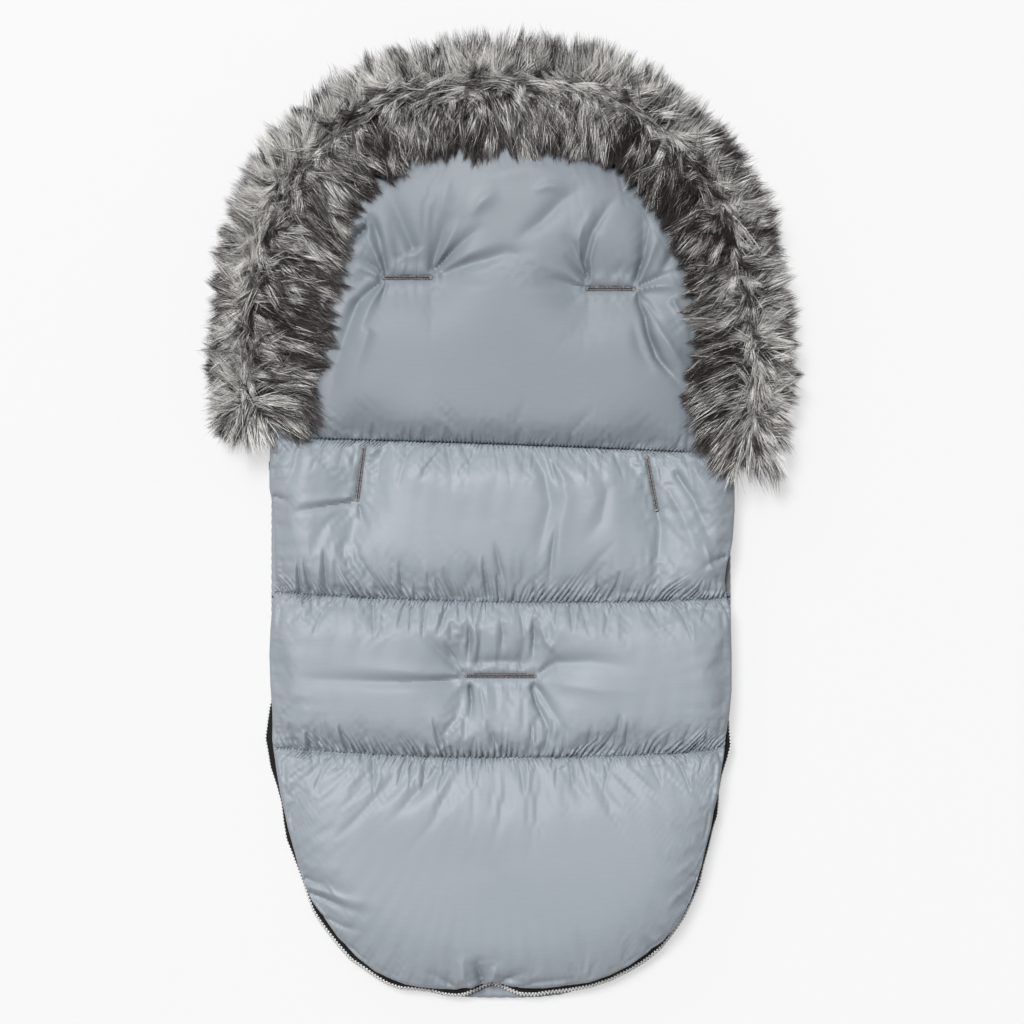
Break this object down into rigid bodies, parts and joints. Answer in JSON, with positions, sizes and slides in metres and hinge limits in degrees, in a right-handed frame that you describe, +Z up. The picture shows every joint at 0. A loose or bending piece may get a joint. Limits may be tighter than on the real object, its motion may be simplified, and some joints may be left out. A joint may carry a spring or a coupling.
{
  "type": "stroller footmuff",
  "caption": "Padded zip-up footmuff for a stroller with a fur-trimmed head section, harness slots and a front cover that opens at the foot",
  "frame": {"origin": "middle of the footprint of the whole footmuff as it lies on its front cover, on the floor", "axes": "+Y along the length towards the fur-trimmed head section, +X across to the right seen from above, +Z up, out of the back's shell"},
  "size_m": [0.57, 0.9309, 0.07],
  "materials": {
    "shell_taffeta": "slick woven polyester taffeta, soft satin sheen",
    "cover_taffeta": "slick woven polyester taffeta, soft satin sheen",
    "wadding": "polyester wadding, matt",
    "fleece": "brushed fleece, matt",
    "slot_thread": "close satin stitch over folded taffeta",
    "fur_pile": "long faux fur, pale grey with dark tips",
    "fur_knit": "knitted backing of the faux fur",
    "zip_tape": "black woven polyester zip tape",
    "zip_teeth": "moulded acetal, silver coloured",
    "slider_metal": "die-cast zinc, black paint",
    "binding": "folded taffeta binding"
  },
  "bodies": {
    "cover": {"cover_chest_shell": "cover_taffeta", "cover_lap_shell": "cover_taffeta", "cover_foot_shell": "cover_taffeta", "cover_chest_wadding": "wadding", "cover_lap_wadding": "wadding", "cover_foot_wadding": "wadding", "cover_lining": "fleece", "cover_top_binding": "binding", "zip_tape_cover": "zip_tape", "zip_teeth_cover": "zip_teeth", "zip_stop_cover_left": "zip_teeth", "zip_stop_cover_right": "zip_teeth"},
    "back": {"head_shell": "shell_taffeta", "waist_shell": "shell_taffeta", "seat_shell": "shell_taffeta", "foot_shell": "shell_taffeta", "head_wadding": "wadding", "waist_wadding": "wadding", "seat_wadding": "wadding", "foot_wadding": "wadding", "back_lining": "fleece", "shoulder_slot_left": "slot_thread", "shoulder_slot_right": "slot_thread", "waist_slot_left": "slot_thread", "waist_slot_right": "slot_thread", "crotch_slot": "slot_thread", "fur_trim": "fur_pile", "fur_backing": "fur_knit", "zip_tape_back": "zip_tape", "zip_teeth_back": "zip_teeth", "zip_stop_back_left": "zip_teeth", "zip_stop_back_right": "zip_teeth"},
    "slider_left": {"zip_slider_left": "slider_metal"},
    "slider_right": {"zip_slider_right": "slider_metal"},
    "pull_left": {"zip_pull_left": "slider_metal"},
    "pull_right": {"zip_pull_right": "slider_metal"}
  },
  "joints": [
    {"name": "back_opening", "type": "hinge", "parent": "cover", "child": "back", "pos_m": [0, -0.4628, 0.027], "axis": [1, 0, 0], "range_deg": [0, 170]},
    {"name": "slider_left_run", "type": "slide", "parent": "cover", "child": "slider_left", "axis": [0, -1, 0], "range_m": [0, 0.215], "deforming": ["zip_teeth_back", "zip_teeth_cover"]},
    {"name": "slider_right_run", "type": "slide", "parent": "cover", "child": "slider_right", "axis": [0, -1, 0], "range_m": [0, 0.212]},
    {"name": "pull_left_swing", "type": "hinge", "parent": "slider_left", "child": "pull_left", "pos_m": [-0.2222, 0.0475, 0.027], "axis": [0, 0, 1], "range_deg": [0, 175]},
    {"name": "pull_right_swing", "type": "hinge", "parent": "slider_right", "child": "pull_right", "pos_m": [0.2222, 0.0445, 0.027], "axis": [0, 0, 1], "range_deg": [0, 175]}
  ]
}
